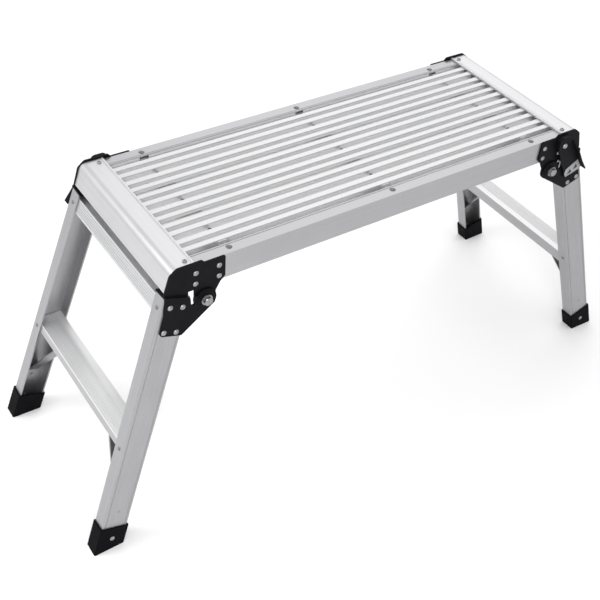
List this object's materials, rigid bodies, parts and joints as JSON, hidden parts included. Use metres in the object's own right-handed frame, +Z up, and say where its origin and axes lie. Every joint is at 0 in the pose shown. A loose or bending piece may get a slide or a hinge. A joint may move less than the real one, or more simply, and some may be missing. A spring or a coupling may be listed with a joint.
{
  "type": "folding work platform",
  "caption": "Folding aluminium work platform: ribbed plank deck, bullnose ends, splayed legs with mid steps, lockable hinges.",
  "frame": {"origin": "on the ground, under the middle of the deck", "axes": "+X along the deck, +Y across it, +Z up"},
  "size_m": [1.1352, 0.3746, 0.5055],
  "materials": {
    "aluminium": "satin anodised extrusion",
    "cap_aluminium": "satin anodised extrusion, brighter",
    "black_steel": "black powder coat on pressed steel",
    "zinc_steel": "zinc plated rivets, bolts and screws",
    "black_rubber": "moulded rubber boot",
    "grey_plastic": "printed badge with plain arrows"
  },
  "bodies": {
    "deck": {"cross_member_left": "aluminium", "cross_member_middle": "aluminium", "cross_member_right": "aluminium", "deck_plate_left_back": "black_steel", "deck_plate_left_front": "black_steel", "deck_plate_right_back": "black_steel", "deck_plate_right_front": "black_steel", "deck_plate_rivets": "zinc_steel", "end_cap_left": "cap_aluminium", "end_cap_right": "cap_aluminium", "end_cap_screws": "zinc_steel", "lever_pins": "zinc_steel", "pivot_bolts": "zinc_steel", "pivot_nuts": "zinc_steel", "pivot_washers": "zinc_steel", "plank_back": "aluminium", "plank_clips": "aluminium", "plank_front": "aluminium", "plank_middle": "aluminium", "plank_screws": "zinc_steel", "rail_back": "aluminium", "rail_front": "aluminium", "rail_rivets": "zinc_steel"},
    "leg_set_left": {"brace_left_back": "aluminium", "brace_left_front": "aluminium", "foot_left_back": "black_rubber", "foot_left_front": "black_rubber", "foot_rivets_left": "zinc_steel", "frame_rivets_left": "zinc_steel", "leg_left_back": "aluminium", "leg_left_front": "aluminium", "leg_plate_left_back": "black_steel", "leg_plate_left_front": "black_steel", "leg_plate_rivets_left": "zinc_steel", "step_left": "aluminium", "top_bar_left": "aluminium"},
    "leg_set_right": {"brace_right_back": "aluminium", "brace_right_front": "aluminium", "foot_right_back": "black_rubber", "foot_right_front": "black_rubber", "foot_rivets_right": "zinc_steel", "frame_rivets_right": "zinc_steel", "leg_plate_right_back": "black_steel", "leg_plate_right_front": "black_steel", "leg_plate_rivets_right": "zinc_steel", "leg_right_back": "aluminium", "leg_right_front": "aluminium", "step_right": "aluminium", "top_bar_right": "aluminium"},
    "lever_left": {"lever_badge_left": "grey_plastic", "lock_lever_left": "black_steel"},
    "lever_right": {"lever_badge_right": "grey_plastic", "lock_lever_right": "black_steel"}
  },
  "joints": [
    {"name": "left_leg_fold", "type": "hinge", "parent": "deck", "child": "leg_set_left", "pos_m": [-0.345, 0, 0.436], "axis": [0, -1, 0], "range_deg": [0, 108]},
    {"name": "right_leg_fold", "type": "hinge", "parent": "deck", "child": "leg_set_right", "pos_m": [0.345, 0, 0.436], "axis": [0, 1, 0], "range_deg": [0, 93]},
    {"name": "left_lever_release", "type": "hinge", "parent": "deck", "child": "lever_left", "pos_m": [-0.3588, 0.154, 0.486], "axis": [0, 1, 0], "range_deg": [0, 12], "stiffness_Nm_per_rad": 0.6, "springref_deg": -11.46},
    {"name": "right_lever_release", "type": "hinge", "parent": "deck", "child": "lever_right", "pos_m": [0.3588, -0.154, 0.486], "axis": [0, -1, 0], "range_deg": [0, 12], "stiffness_Nm_per_rad": 0.6, "springref_deg": -11.46}
  ]
}
